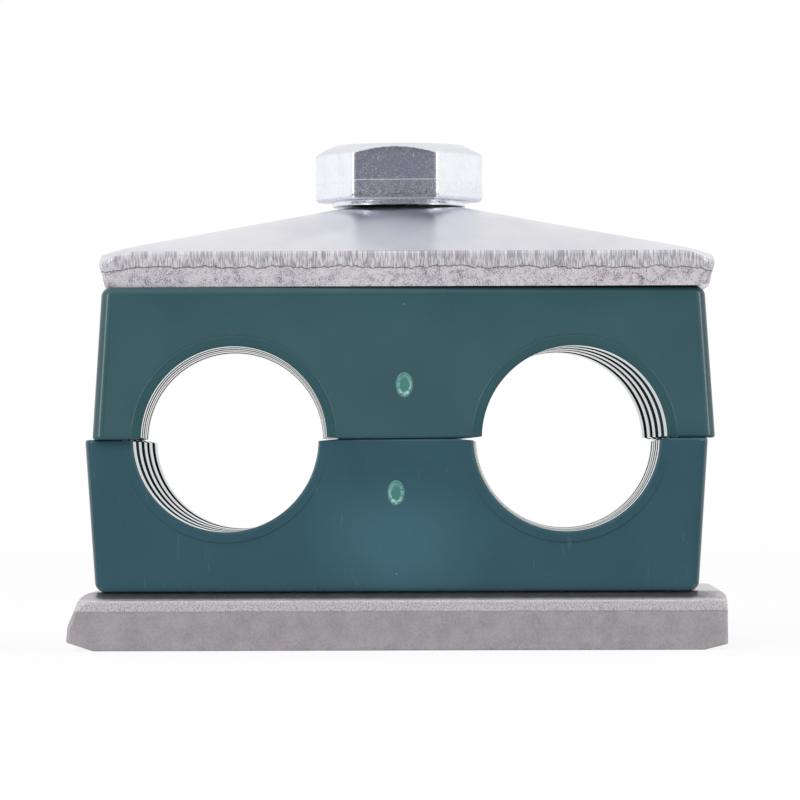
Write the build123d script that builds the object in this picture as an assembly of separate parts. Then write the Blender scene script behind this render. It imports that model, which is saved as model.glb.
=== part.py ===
from build123d import *
import math
import os

# Twin tube clamp: two moulded halves hold two parallel tubes between a weld
# plate and a pressed cover plate, drawn together by one hexagon bolt.
# Frame: millimetres, +Z up. The tubes run along Y and the bolt stands on Z.
# The origin is on the underside of the weld plate, on the bolt's axis.
# The loose pieces rest slightly turned on the bolt, by the named turns below.

# ---- shared by the halves and both plates ----
clamp_depth = 30.0          # along Y

# ---- tubes and their seats ----
tube_diameter = 16.0
tube_spacing = 29.0
land_squeeze = 0.1          # how far each land stands inside the tube's surface
land_count = 5
groove_width = 3.0
groove_depth = 0.5
seat_rim_width = 0.9        # undrafted ring round each seat on the front and back

# ---- moulded half (both are the same moulding) ----
half_height = 13.0
half_length = 53.1          # along X at the joint face
end_draft = 3.7             # degrees, on the two end faces
side_draft = 1.0            # degrees, on the front and back faces
corner_radius = 1.0
back_edge_radius = 0.8
joint_edge_break = 0.25
bolt_hole_clearance = 0.5   # radial, round the bolt's shank
recess_clearance = 0.5      # radial, and in depth, round the weld plate's collar
pad_relief = 0.25
pad_length = 18.0           # along Y
pad_corner = 0.8
upper_pad_start = 0.6       # from the joint face
upper_pad_height = 4.3
pad_gap = 3.1
lower_pad_height = 3.4
gate_width = 1.5
gate_height = 2.2
gate_relief = 0.12
gate_drop = 4.6             # from the joint face to the gate mark's centre
upper_half_turn = 2.8       # degrees about the bolt

# ---- weld plate ----
weld_length = 56.3          # overall
weld_thickness = 5.0
long_roll_reach = 1.4       # where the shear rolled the long top edges over
long_roll_drop = 0.7
left_roll_reach = 1.7       # the same at the left end
left_roll_drop = 1.25
left_lean = 0.88            # how far the left end leans out below that
left_belly_reach = 0.25     # where the lean eases off, from the outermost point
left_belly_level = 2.4
left_foot_reach = 2.3       # flat worn under the left end
left_foot_rise = 0.75
right_roll_reach = 0.85
right_roll_drop = 0.75
right_foot_reach = 2.0
right_foot_rise = 0.5
collar_radius = 6.25
collar_height = 4.5
collar_edge_break = 0.6
pierce_radius = 1.2         # round mouth of the tapped hole, under the plate

# ---- cover plate ----
cover_length = 52.5
cover_thickness = 3.0
cover_corner = 1.4
cover_rise = 4.42           # from the flat long edges up to the bolt's seat
end_bow = 0.2               # how far the short ends stand above the long edges
cover_rim = 0.5             # flat strip along each long top edge
cover_foot = 3.0            # flat strip along each long edge that rests on the half
break_level = 1.6           # the blanked sides taper in below this height
break_taper = 0.3
seat_length = 10.4
seat_depth = 10.6
crease_radius = 5.0         # where the sloping faces meet
crease_limit = 0.75         # most of a long slope's run that a crease may take
cover_hole_clearance = 0.8  # radial, round the bolt's shank
cover_shift = 0.65          # towards +X, within that clearance
cover_turn = 1.3            # degrees about the bolt

# ---- bolt ----
bolt_diameter = 8.0
bolt_length = 35.0          # under the head
thread_clearance = 0.05     # radial, between the shank and the tapped hole
head_height = 5.38
head_across_flats = 12.9
head_across_corners = 14.72
head_top_radius = 6.2
head_chamfer_angle = 30.0
washer_face_radius = 5.87
washer_face_height = 0.4
head_foot_radius = 0.45     # where the sides roll under the head
tip_chamfer = 0.8
bolt_turn = -2.0            # degrees

# ---- sizes that follow ----
seat_radius = tube_diameter / 2 - land_squeeze
land_width = (clamp_depth - (land_count - 1) * groove_width) / land_count
shank_radius = bolt_diameter / 2
joint_level = weld_thickness + half_height
body_top = joint_level + half_height
bolt_seat = body_top + cover_thickness + cover_rise
end_shrink = half_height * math.tan(math.radians(end_draft))
side_shrink = half_height * math.tan(math.radians(side_draft))


def frustum(base_length, base_depth, top_length, top_depth, height):
    """A block with four flat sloping sides, from a base rectangle at z = 0 to its top."""
    front = Plane.XZ * make_face(Polyline(
        (-base_length / 2, 0), (base_length / 2, 0),
        (top_length / 2, height), (-top_length / 2, height), close=True,
    ))
    side = Plane.YZ * make_face(Polyline(
        (-base_depth / 2, 0), (base_depth / 2, 0),
        (top_depth / 2, height), (-top_depth / 2, height), close=True,
    ))
    return extrude(front, base_depth, both=True) & extrude(side, base_length, both=True)


def slanted_edges(block):
    """The four edges where neighbouring sloping sides meet."""
    return block.edges().filter_by(Axis.X, reverse=True).filter_by(Axis.Y, reverse=True)


def drafted_block(relief=0.0):
    """The half's outer form: joint face at z = 0, narrowing down to its back."""
    length = half_length + 2 * relief
    block = frustum(
        length, clamp_depth, length - 2 * end_shrink, clamp_depth - 2 * side_shrink, half_height
    )
    block = fillet(slanted_edges(block), corner_radius)
    return Rot(180, 0, 0) * block


def tube_seat_cutter(x):
    """A tube's bore along Y: lands at the seat radius with grooves between them."""
    cutter = Cylinder(seat_radius, clamp_depth * 2)
    pitch = land_width + groove_width
    for i in range(land_count - 1):
        y = (i - (land_count - 2) / 2) * pitch
        cutter += Pos(0, 0, y) * Cylinder(seat_radius + groove_depth, groove_width)
    return Pos(x, 0, 0) * Rot(90, 0, 0) * cutter


def seat_rim(x):
    """The undrafted ring round a seat, from the joint face down."""
    radius = seat_radius + seat_rim_width
    ring = Pos(x, 0, 0) * Rot(90, 0, 0) * Cylinder(radius, clamp_depth)
    below = Pos(x, 0, -radius) * Box(radius * 2, clamp_depth, radius * 2)
    return ring & below


def end_pads():
    """Plain raised pads on one end face, following its draft."""
    skin = drafted_block(pad_relief)
    reach = half_length / 2
    start = upper_pad_start
    pads = Part()
    for height in (upper_pad_height, lower_pad_height):
        window = Box(reach, pad_length, height)
        window = fillet(window.edges().filter_by(Axis.X), pad_corner)
        pads += skin & (Pos(-reach, 0, -start - height / 2) * window)
        start += height + pad_gap
    return pads


def gate_mark():
    """The oval trace of the moulding gate on the front face."""
    lean = math.tan(math.radians(side_draft)) * gate_drop
    plane = Plane(
        origin=(0, -clamp_depth / 2 + lean, -gate_drop), x_dir=(1, 0, 0), z_dir=(0, -1, 0)
    )
    return extrude(plane * Ellipse(gate_width / 2, gate_height / 2), gate_relief, both=True)


def moulded_half():
    """One clamp half, joint face up at z = 0."""
    half = drafted_block()
    back_edges = half.edges().group_by(Axis.Z)[0]
    half = fillet(back_edges, back_edge_radius)
    half = chamfer(half.edges().group_by(Axis.Z)[-1], joint_edge_break)
    half += end_pads() + gate_mark()
    for side in (-1, 1):
        half += seat_rim(side * tube_spacing / 2)
        half -= tube_seat_cutter(side * tube_spacing / 2)
    half -= Cylinder(shank_radius + bolt_hole_clearance, half_height * 3)
    recess_depth = collar_height + recess_clearance
    half -= Pos(0, 0, -half_height) * Cylinder(
        collar_radius + recess_clearance, recess_depth * 2
    )
    return half


def lower_half():
    return Pos(0, 0, joint_level) * moulded_half()


def upper_half():
    return Pos(0, 0, joint_level) * Rot(0, 0, upper_half_turn) * Rot(0, 180, 0) * moulded_half()


def weld_end_outline():
    """The weld plate from the front, with both sheared ends."""
    left, right, top = -weld_length / 2, weld_length / 2, weld_thickness
    left_shoulder = (left + left_lean, top - left_roll_drop)
    left_top = (left + left_lean + left_roll_reach, top)
    right_top = (right - right_roll_reach, top)
    right_shoulder = (right, top - right_roll_drop)
    outline = Line(left_top, right_top)
    outline += TangentArc(right_top, right_shoulder, tangent=(1, 0))
    outline += Polyline(
        right_shoulder,
        (right, right_foot_rise),
        (right - right_foot_reach, 0),
        (left + left_foot_reach, 0),
        (left, left_foot_rise),
        (left + left_belly_reach, left_belly_level),
        left_shoulder,
    )
    outline += TangentArc(left_top, left_shoulder, tangent=(-1, 0))
    return Plane.XZ * make_face(outline)


def weld_side_outline():
    """The weld plate from the side, with its rolled long edges."""
    side, top = clamp_depth / 2, weld_thickness
    flat, shoulder = side - long_roll_reach, top - long_roll_drop
    outline = Polyline((-side, shoulder), (-side, 0), (side, 0), (side, shoulder))
    outline += TangentArc((flat, top), (side, shoulder), tangent=(1, 0))
    outline += Line((-flat, top), (flat, top))
    outline += TangentArc((-flat, top), (-side, shoulder), tangent=(-1, 0))
    return Plane.YZ * make_face(outline)


def weld_plate():
    """Flat steel plate, sheared to size, with the tapped collar pierced up from it."""
    bar = extrude(weld_end_outline(), clamp_depth / 2, both=True)
    bar &= extrude(weld_side_outline(), weld_length, both=True)
    collar = Pos(0, 0, weld_thickness + collar_height / 2) * Cylinder(
        collar_radius, collar_height
    )
    collar = chamfer(collar.edges().group_by(Axis.Z)[-1], collar_edge_break)
    thread = shank_radius + thread_clearance
    plate = bar + collar
    plate -= Pos(0, 0, weld_thickness) * Cylinder(thread, weld_thickness * 4)
    mouth = plate.edges().filter_by(GeomType.CIRCLE).group_by(Axis.Z)[0]
    return fillet(mouth, pierce_radius)


def cover_dome(foot_depth, lift):
    """The raised middle: four sloping faces from a rectangle up to the bolt's seat."""
    run = (cover_length - seat_length) / 2
    overrun = run * end_bow / (cover_rise - end_bow)
    dome = frustum(cover_length + 2 * overrun, foot_depth, seat_length, seat_depth, cover_rise)
    crease = min(crease_radius, (foot_depth - seat_depth) / 2 * crease_limit)
    return Pos(0, 0, lift) * fillet(slanted_edges(dome), crease)


def cover_plate():
    """Pressed plate: straight long edges on the half, middle raised to the bolt."""
    outline = RectangleRounded(cover_length, clamp_depth, cover_corner)
    foot = RectangleRounded(
        cover_length - 2 * break_taper, clamp_depth - 2 * break_taper, cover_corner
    )
    blank = loft([foot.face(), Pos(0, 0, break_level) * outline.face()], ruled=True)
    blank += Pos(0, 0, break_level) * extrude(outline, cover_thickness - break_level)
    reach = extrude(outline, cover_thickness + cover_rise)
    outer = cover_dome(clamp_depth - 2 * cover_rim, cover_thickness) & reach
    inner = cover_dome(clamp_depth - 2 * cover_foot, 0)
    plate = blank + outer - inner
    hole = Cylinder(shank_radius + cover_hole_clearance, bolt_seat)
    plate -= hole
    turned = Rot(0, 0, cover_turn) * plate
    return Pos(cover_shift, 0, body_top) * turned


def bolt_head():
    """Hexagon head, chamfered above, rolled over below, on its round washer face."""
    across = RegularPolygon(head_across_flats / 2, 6, major_radius=False)
    hexagon = Pos(0, 0, washer_face_height) * extrude(across, head_height - washer_face_height)
    hexagon = fillet(hexagon.edges().group_by(Axis.Z)[0], head_foot_radius)
    corner = head_across_corners / 2
    drop = (corner - head_top_radius) * math.tan(math.radians(head_chamfer_angle))
    profile = Polyline(
        (0, 0),
        (corner, 0),
        (corner, head_height - drop),
        (head_top_radius, head_height),
        (0, head_height),
        close=True,
    )
    turned = revolve(Plane.XZ * make_face(profile), Axis.Z)
    washer_face = Pos(0, 0, washer_face_height / 2) * Cylinder(
        washer_face_radius, washer_face_height
    )
    return (hexagon & turned) + washer_face


def bolt():
    """Hexagon bolt, threaded to the head; the shank is drawn at the thread's crests."""
    shank = Pos(0, 0, -bolt_length / 2) * Cylinder(shank_radius, bolt_length)
    shank = chamfer(shank.edges().group_by(Axis.Z)[0], tip_chamfer)
    return Pos(0, 0, bolt_seat) * Rot(0, 0, bolt_turn) * (bolt_head() + shank)


pieces = {
    "weld_plate": weld_plate(),
    "lower_half": lower_half(),
    "upper_half": upper_half(),
    "cover_plate": cover_plate(),
    "bolt": bolt(),
}

os.makedirs("parts", exist_ok=True)
for name, piece in pieces.items():
    export_step(piece, f"parts/{name}.step")
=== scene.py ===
"""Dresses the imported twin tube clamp: two moulded halves between a weld plate and a
pressed cover plate, drawn together by one hexagon bolt.

Sizes are in millimetres and turns in degrees unless a comment says otherwise. Every
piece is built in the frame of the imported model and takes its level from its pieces.
"""

import logging
import math
from dataclasses import dataclass, field
from typing import Any, Sequence

import bmesh
import bpy
import numpy as np
from mathutils import Matrix, Vector


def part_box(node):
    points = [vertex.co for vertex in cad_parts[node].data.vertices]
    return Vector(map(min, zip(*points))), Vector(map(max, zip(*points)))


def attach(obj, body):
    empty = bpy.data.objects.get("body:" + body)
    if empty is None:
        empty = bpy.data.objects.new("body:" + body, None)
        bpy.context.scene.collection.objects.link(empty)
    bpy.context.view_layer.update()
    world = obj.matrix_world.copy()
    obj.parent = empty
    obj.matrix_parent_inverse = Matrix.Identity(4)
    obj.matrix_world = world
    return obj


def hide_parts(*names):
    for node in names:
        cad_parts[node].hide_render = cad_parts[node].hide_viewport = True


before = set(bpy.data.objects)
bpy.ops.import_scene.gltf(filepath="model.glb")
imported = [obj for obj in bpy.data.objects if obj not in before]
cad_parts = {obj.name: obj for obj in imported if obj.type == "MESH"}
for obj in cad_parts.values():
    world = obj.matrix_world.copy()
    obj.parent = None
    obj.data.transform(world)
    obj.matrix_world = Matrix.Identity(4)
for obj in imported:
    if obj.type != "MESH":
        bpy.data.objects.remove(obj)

MM = 0.001
LOCAL = "local_mm"          # attribute: where a point lies in its own piece, in mm
CUT = "cut_face"            # attribute: 1 on a sheared face, 0 elsewhere
LEVEL = "plate_height"      # attribute: height within the flat sheet, before it is pressed
TORN = "torn"               # attribute: 1 where a sheared face is fractured
QUARTER = math.pi / 2
log = logging.getLogger("tube_clamp")

Point = tuple[float, float, float]


# ---------------------------------------------------------------- nodes


def linear(hex_colour: str) -> tuple[float, float, float, float]:
    """Turns an sRGB hex colour to linear red, green, blue and an alpha of 1.

    Args:
        hex_colour: six hex digits after a hash.

    Returns:
        The colour as sockets take it.
    """
    channels = [int(hex_colour[i:i + 2], 16) / 255 for i in (1, 3, 5)]
    red, green, blue = (
        c / 12.92 if c <= 0.04045 else ((c + 0.055) / 1.055) ** 2.4 for c in channels
    )
    return red, green, blue, 1.0


def add_node(
    tree: bpy.types.NodeTree, kind: str, inputs: dict[str | int, Any] | None = None,
    **settings: Any,
) -> bpy.types.Node:
    """Adds one node to a tree, with its settings and links.

    Args:
        tree: the tree that gets the node.
        kind: the node's type name.
        inputs: a value or a Term for each input, by name or number.
        settings: the node's own properties.

    Returns:
        The new node.
    """
    node = tree.nodes.new(kind)
    for name, value in settings.items():
        setattr(node, name, value)
    for key, value in (inputs or {}).items():
        named = [s for s in node.inputs if s.name == key and s.enabled]
        socket = named[0] if named else node.inputs[key]
        if isinstance(value, Term):
            tree.links.new(value.socket, socket)
        else:
            socket.default_value = value
    return node


def term(
    tree: bpy.types.NodeTree, kind: str, inputs: dict[str | int, Any] | None = None,
    output: str | int = 0, **settings: Any,
) -> "Term":
    """Adds one node, as add_node does, and gives the output that is asked for."""
    return Term(tree, add_node(tree, kind, inputs, **settings).outputs[output])


@dataclass(frozen=True)
class Term:
    """A node's output in arithmetic: each operator adds one Math node to its tree."""

    tree: bpy.types.NodeTree
    socket: bpy.types.NodeSocket

    def math(self, operation: str, *others: Any, clamp: bool = False) -> "Term":
        """One Math node on this value and up to two more."""
        return calc(self.tree, operation, self, *others, clamp=clamp)

    def __add__(self, other: Any) -> "Term":
        """This value plus another."""
        return self.math("ADD", other)

    def __sub__(self, other: Any) -> "Term":
        """This value less another."""
        return self.math("SUBTRACT", other)

    def __rsub__(self, other: float) -> "Term":
        """A number less this value."""
        return calc(self.tree, "SUBTRACT", other, self)

    def __mul__(self, other: Any) -> "Term":
        """This value times another."""
        return self.math("MULTIPLY", other)

    def __truediv__(self, other: Any) -> "Term":
        """This value over another."""
        return self.math("DIVIDE", other)

    def __rtruediv__(self, other: float) -> "Term":
        """A number over this value."""
        return calc(self.tree, "DIVIDE", other, self)

    def __pow__(self, other: float) -> "Term":
        """This value to a power."""
        return self.math("POWER", other)

    def __abs__(self) -> "Term":
        """This value without its sign."""
        return self.math("ABSOLUTE")

    def onto(self, base: Any, share: float, clamp: bool = False) -> "Term":
        """Adds a share of this value to a base."""
        return self.math("MULTIPLY_ADD", share, base, clamp=clamp)

    def at_least(self, other: Any) -> "Term":
        """The greater of this value and another."""
        return self.math("MAXIMUM", other)

    def at_most(self, other: Any) -> "Term":
        """The lesser of this value and another."""
        return self.math("MINIMUM", other)

    def ranged(
        self, start: Any, end: Any, low: Any = 0.0, high: Any = 1.0, smooth: bool = False
    ) -> "Term":
        """Maps start..end to low..high and holds it there beyond them."""
        return term(self.tree, "ShaderNodeMapRange",
                    {0: self, 1: start, 2: end, 3: low, 4: high},
                    interpolation_type="SMOOTHSTEP" if smooth else "LINEAR")

    def band(self, start: float, end: float) -> "Term":
        """A smooth step from 0 at start to 1 at end."""
        return self.ranged(start, end, smooth=True)

    def between(self, first: Any, second: Any) -> "Term":
        """Mixes two numbers; this value is the second one's share."""
        return term(self.tree, "ShaderNodeMix", {0: self, 2: first, 3: second})

    def tint(self, first: "Term | str", second: "Term | str") -> "Term":
        """Mixes two colours, each a Term or a hex colour; this is the second's share."""
        first, second = (linear(c) if isinstance(c, str) else c for c in (first, second))
        return term(self.tree, "ShaderNodeMix", {0: self, 6: first, 7: second}, 2,
                    data_type="RGBA")

    def split(self) -> list["Term"]:
        """The three parts of a vector."""
        node = add_node(self.tree, "ShaderNodeSeparateXYZ", {0: self})
        return [Term(self.tree, output) for output in node.outputs]

    def vector(
        self, operation: str, inputs: dict[str | int, Any] | None = None,
        output: str = "Vector",
    ) -> "Term":
        """One Vector Math node on this value and on its other inputs, if any."""
        return term(self.tree, "ShaderNodeVectorMath", {0: self, **(inputs or {})}, output,
                    operation=operation)

    def length(self) -> "Term":
        """The length of a vector."""
        return self.vector("LENGTH", output="Value")

    def stretched(self, scale: Point, turn: float = 0.0, move: Point = (0, 0, 0)) -> "Term":
        """A place through a scale, a turn about Y in radians and a move."""
        return term(self.tree, "ShaderNodeMapping", {
            "Vector": self, "Location": move, "Rotation": (0, turn, 0), "Scale": scale})

    def noise(self, size: float, detail: float = 3.0, distortion: float = 0.0) -> "Term":
        """Noise at this place, whose features are about this size."""
        return term(self.tree, "ShaderNodeTexNoise", {
            "Vector": self, "Scale": 1 / size, "Detail": detail, "Distortion": distortion})

    def seeded_noise(
        self, seed: "Term", size: Any, detail: float, roughness: float = 0.5
    ) -> "Term":
        """Noise at this place, of a size that may be a Term, with a seed."""
        return term(self.tree, "ShaderNodeTexNoise", {
            "Vector": self, "W": seed, "Scale": 1 / size, "Detail": detail,
            "Roughness": roughness}, noise_dimensions="4D")


def calc(
    tree: bpy.types.NodeTree, operation: str, *values: Any, clamp: bool = False
) -> Term:
    """One Math node's result on up to three numbers or Terms."""
    return term(tree, "ShaderNodeMath", dict(enumerate(values)), operation=operation,
                use_clamp=clamp)


def joined(tree: bpy.types.NodeTree, x: Any, y: Any = 0.0, z: Any = 0.0) -> Term:
    """A vector from its three parts."""
    return term(tree, "ShaderNodeCombineXYZ", {0: x, 1: y, 2: z})


def attribute(tree: bpy.types.NodeTree, name: str, output: str = "Fac") -> Term:
    """Reads a named attribute of the surface in a material, as Fac or Vector."""
    return term(tree, "ShaderNodeAttribute", output=output, attribute_name=name)


def rays(tree: bpy.types.NodeTree) -> tuple[Term, Term]:
    """Tells a shader's rays apart.

    Args:
        tree: the shader's tree.

    Returns:
        1 for rays from the camera, straight or through glass; 1 for reflected rays.
    """
    path = add_node(tree, "ShaderNodeLightPath").outputs
    camera, passed, glossy = (
        Term(tree, path[f"Is {kind} Ray"]) for kind in ("Camera", "Transmission", "Glossy"))
    return camera.math("ADD", passed, clamp=True), glossy


def open_group(
    name: str, sizes: dict[str, float | int]
) -> tuple[bpy.types.NodeTree, dict[str, Term]]:
    """Starts a Geometry Nodes tree with a geometry input and named sizes.

    Args:
        name: the tree's name.
        sizes: for each input its value; a whole number makes a whole-number socket.

    Returns:
        The tree, and its inputs by name, with the geometry among them.
    """
    tree = bpy.data.node_groups.new(name, "GeometryNodeTree")
    face = tree.interface
    face.new_socket("Geometry", in_out="INPUT", socket_type="NodeSocketGeometry")
    for label, value in sizes.items():
        kind = "NodeSocketInt" if isinstance(value, int) else "NodeSocketFloat"
        face.new_socket(label, in_out="INPUT", socket_type=kind).default_value = value
    face.new_socket("Geometry", in_out="OUTPUT", socket_type="NodeSocketGeometry")
    given = add_node(tree, "NodeGroupInput").outputs
    return tree, {label: Term(tree, given[label]) for label in ("Geometry", *sizes)}


def run_group(
    piece: bpy.types.Object, geometry: Term, material: bpy.types.Material,
    sizes: dict[str, float | int],
) -> None:
    """Ends a Geometry Nodes tree with real, dressed geometry and bakes it into a piece.

    Args:
        piece: the object that carries the modifier.
        geometry: what the tree has made.
        material: what it is made of.
        sizes: a value for each named input.
    """
    tree = geometry.tree
    real = term(tree, "GeometryNodeRealizeInstances", {0: geometry})
    dressed = term(tree, "GeometryNodeSetMaterial", {
        "Geometry": real, "Material": material})
    add_node(tree, "NodeGroupOutput", {0: dressed})
    modifier = piece.modifiers.new(tree.name, "NODES")
    modifier.node_group = tree
    for item in tree.interface.items_tree:
        if item.item_type == "SOCKET" and item.in_out == "INPUT" and item.name in sizes:
            modifier[item.identifier] = sizes[item.name]
    apply_modifiers(piece)


def apply_modifiers(piece: bpy.types.Object) -> None:
    """Turns what a piece's modifiers give into its own plain mesh."""
    bpy.context.view_layer.update()
    graph = bpy.context.evaluated_depsgraph_get()
    mesh = bpy.data.meshes.new_from_object(piece.evaluated_get(graph))
    piece.modifiers.clear()
    piece.data = mesh


# ---------------------------------------------------------------- meshes


def new_object(name: str, data: bpy.types.ID) -> bpy.types.Object:
    """Links a new object with this mesh, camera or light to the scene."""
    piece = bpy.data.objects.new(name, data)
    bpy.context.scene.collection.objects.link(piece)
    return piece


def face_outwards(mesh: bpy.types.Mesh) -> bpy.types.Mesh:
    """Turns a closed mesh's faces outwards."""
    work = bmesh.new()
    work.from_mesh(mesh)
    bmesh.ops.recalc_face_normals(work, faces=work.faces)
    work.to_mesh(mesh)
    work.free()
    return mesh


def solid(
    name: str, points: Sequence[Sequence[float]], faces: Sequence[Sequence[int]]
) -> bpy.types.Object:
    """Makes a closed object from points and faces, turned outwards."""
    mesh = bpy.data.meshes.new(name)
    mesh.from_pydata([[c * MM for c in p] for p in points], [], [list(f) for f in faces])
    mesh.validate()
    return new_object(name, face_outwards(mesh))


def ring_stack(rings: Sequence[Sequence[Point]]) -> tuple[list, list]:
    """Skins rings of equal count, first to last, and caps both ends.

    Args:
        rings: closed rings of points, each in the same order.

    Returns:
        Points and faces.
    """
    count = len(rings[0])
    points = [p for ring in rings for p in ring]
    faces: list[list[int]] = []
    for r in range(len(rings) - 1):
        low, high = r * count, (r + 1) * count
        faces += [[low + i, low + (i + 1) % count, high + (i + 1) % count, high + i]
                  for i in range(count)]
    faces.append(list(range(count))[::-1])
    faces.append([len(points) - count + i for i in range(count)])
    return points, faces


def turned_solid(
    name: str, profile: Sequence[tuple[float, float]], segments: int = 96
) -> bpy.types.Object:
    """Turns a profile of (radius, height) about Z into a closed solid."""
    turns = [4 * QUARTER * i / segments for i in range(segments)]
    return solid(name, *ring_stack([
        [(r * math.cos(a), r * math.sin(a), z) for a in turns] for r, z in profile]))


def drill(name: str, radius: float, low: float, high: float) -> bpy.types.Object:
    """A plain round cutter between two heights."""
    return turned_solid(name, [(radius, low), (radius, high)])


def quarter_turn(steps: int) -> list[float]:
    """Even turns from 0 to a quarter turn, in radians."""
    return [QUARTER * i / steps for i in range(steps + 1)]


def rounded_ring(
    length: float, width: float, radius: float, z: float, steps: int = 8
) -> list[Point]:
    """A rectangle with rounded corners in the XY plane, counter-clockwise."""
    ring = []
    for corner in range(4):
        cx = (length / 2 - radius) * (1 if corner in (0, 3) else -1)
        cy = (width / 2 - radius) * (1 if corner in (0, 1) else -1)
        for i in range(steps + 1):
            angle = QUARTER * (corner + i / steps)
            ring.append((cx + radius * math.cos(angle), cy + radius * math.sin(angle), z))
    return ring


def boolean(piece: bpy.types.Object, tool: bpy.types.Object, operation: str) -> None:
    """Adds a live exact Boolean modifier to a piece."""
    modifier = piece.modifiers.new(operation.lower(), "BOOLEAN")
    modifier.operation = operation
    modifier.solver = "EXACT"
    modifier.object = tool


def discard(*tools: bpy.types.Object) -> None:
    """Removes helper objects."""
    for tool in tools:
        bpy.data.objects.remove(tool, do_unlink=True)


def shade(piece: bpy.types.Object, angle: float, weighted: bool = True) -> None:
    """Smooth shading that keeps edges past an angle sharp and large faces flat.

    Args:
        piece: the object.
        angle: how sharp a true edge is at least, in degrees.
        weighted: whether large faces pull the normals flat.
    """
    mesh = piece.data
    mesh.shade_smooth()
    mesh.set_sharp_from_angle(angle=math.radians(angle))
    if weighted:
        modifier = piece.modifiers.new("even_normals", "WEIGHTED_NORMAL")
        modifier.keep_sharp = True
        modifier.weight = 80
        apply_modifiers(piece)


def mark_points(mesh: bpy.types.Mesh, name: str, values: np.ndarray) -> None:
    """Stores one number or vector for each point of a mesh under a name."""
    kind, key = ("FLOAT", "value") if values.ndim == 1 else ("FLOAT_VECTOR", "vector")
    stored = mesh.attributes.new(name, kind, "POINT")
    stored.data.foreach_set(key, values.astype(np.float32).ravel())


def keep_local(mesh: bpy.types.Mesh) -> None:
    """Stores each point's place in its own piece, for patterns that follow it."""
    places = np.zeros(len(mesh.vertices) * 3, np.float32)
    mesh.vertices.foreach_get("co", places)
    mark_points(mesh, LOCAL, (places / MM).reshape(-1, 3))


def settle(
    piece: bpy.types.Object, place: Matrix, material: bpy.types.Material, body: str,
) -> None:
    """Moves a finished mesh to its place and hands the piece to its body.

    Args:
        piece: the object, built about its own origin.
        place: where it goes in the frame.
        material: its finish.
        body: the body it rides on.
    """
    if LOCAL not in piece.data.attributes:
        keep_local(piece.data)
    piece.data.transform(place)
    piece.data.materials.clear()
    piece.data.materials.append(material)
    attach(piece, body)
    log.info("%s: %d faces on %s", piece.name, len(piece.data.polygons), body)


def turned_place(x: float, z: float, turn: float) -> Matrix:
    """A place in metres along X and Z, turned about the bolt by degrees."""
    return Matrix.Translation((x, 0, z)) @ Matrix.Rotation(math.radians(turn), 4, "Z")


def lattice_box(
    xs: Sequence[float], ys: Sequence[float], zs: Sequence[float]
) -> tuple[np.ndarray, list[tuple[int, ...]]]:
    """The surface of a box whose sides are gridded at the given stations.

    Args:
        xs: stations along X, rising.
        ys: stations along Y.
        zs: stations along Z.

    Returns:
        Surface points, one row each, and four-sided faces.
    """
    counts = (len(xs), len(ys), len(zs))
    numbers: dict[tuple[int, ...], int] = {}
    faces = []
    for axis in range(3):
        a, b = [n for n in range(3) if n != axis]
        for end in (0, counts[axis] - 1):
            for p in range(counts[a] - 1):
                for q in range(counts[b] - 1):
                    corners = []
                    for dp, dq in ((0, 0), (1, 0), (1, 1), (0, 1)):
                        index = [0, 0, 0]
                        index[axis], index[a], index[b] = end, p + dp, q + dq
                        corners.append(numbers.setdefault(tuple(index), len(numbers)))
                    outward = (end > 0) == (axis != 1)
                    faces.append(tuple(corners if outward else corners[::-1]))
    points = np.array([(xs[i], ys[j], zs[k]) for i, j, k in numbers], float)
    return points, faces


def stations(length: float, count: int, edge: float, edge_count: int) -> np.ndarray:
    """Stations from -length/2 to length/2, closer together near both ends.

    Args:
        length: the whole length.
        count: how many even stations span the middle.
        edge: the length at each end that gets extra stations.
        edge_count: how many extra stations each end gets.

    Returns:
        The stations, rising.
    """
    middle = np.linspace(-length / 2 + edge, length / 2 - edge, count)
    ramp = np.linspace(0, edge, edge_count, endpoint=False)
    return np.concatenate([-length / 2 + ramp, middle, (length / 2 - ramp)[::-1]])


def round_off(
    a: np.ndarray, b: np.ndarray, high_a: float, high_b: float, radius: float
) -> tuple[np.ndarray, np.ndarray]:
    """Rounds the four corners at (±high_a, ±high_b) of a gridded rectangle.

    Args:
        a: the points' first coordinate, from the rectangle's middle.
        b: their second coordinate.
        high_a: half the rectangle's first side.
        high_b: half its second side.
        radius: the rounding.

    Returns:
        Both coordinates, moved.
    """
    da, db = np.abs(a) - (high_a - radius), np.abs(b) - (high_b - radius)
    near = (da > 0) & (db > 0)
    length = np.hypot(da, db)
    scale = np.where(near, np.maximum(da, db) / np.where(near, length, 1), 1)
    return (np.sign(a) * np.where(near, high_a - radius + da * scale, np.abs(a)),
            np.sign(b) * np.where(near, high_b - radius + db * scale, np.abs(b)))


def gridded(
    name: str, x: np.ndarray, y: np.ndarray, z: np.ndarray, faces: Sequence[Sequence[int]]
) -> bpy.types.Mesh:
    """Makes a closed mesh from arrays of coordinates, turned outwards."""
    mesh = bpy.data.meshes.new(name)
    mesh.from_pydata((np.column_stack([x, y, z]) * MM).tolist(), [], faces)
    return face_outwards(mesh)


def near_end(places: np.ndarray, end: float, reach: float) -> np.ndarray:
    """Rises from 0 to 1 over the reach before an end."""
    return np.clip((places - end + reach) / reach, 0, 1)


def smooth_min(a: np.ndarray, b: Any, blend: float) -> np.ndarray:
    """The lesser of two heights, with the crease between them rounded over blend."""
    share = np.clip(0.5 + 0.5 * (b - a) / blend, 0, 1)
    return b * (1 - share) + a * share - blend * share * (1 - share)


# ---------------------------------------------------------------- finishes


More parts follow.
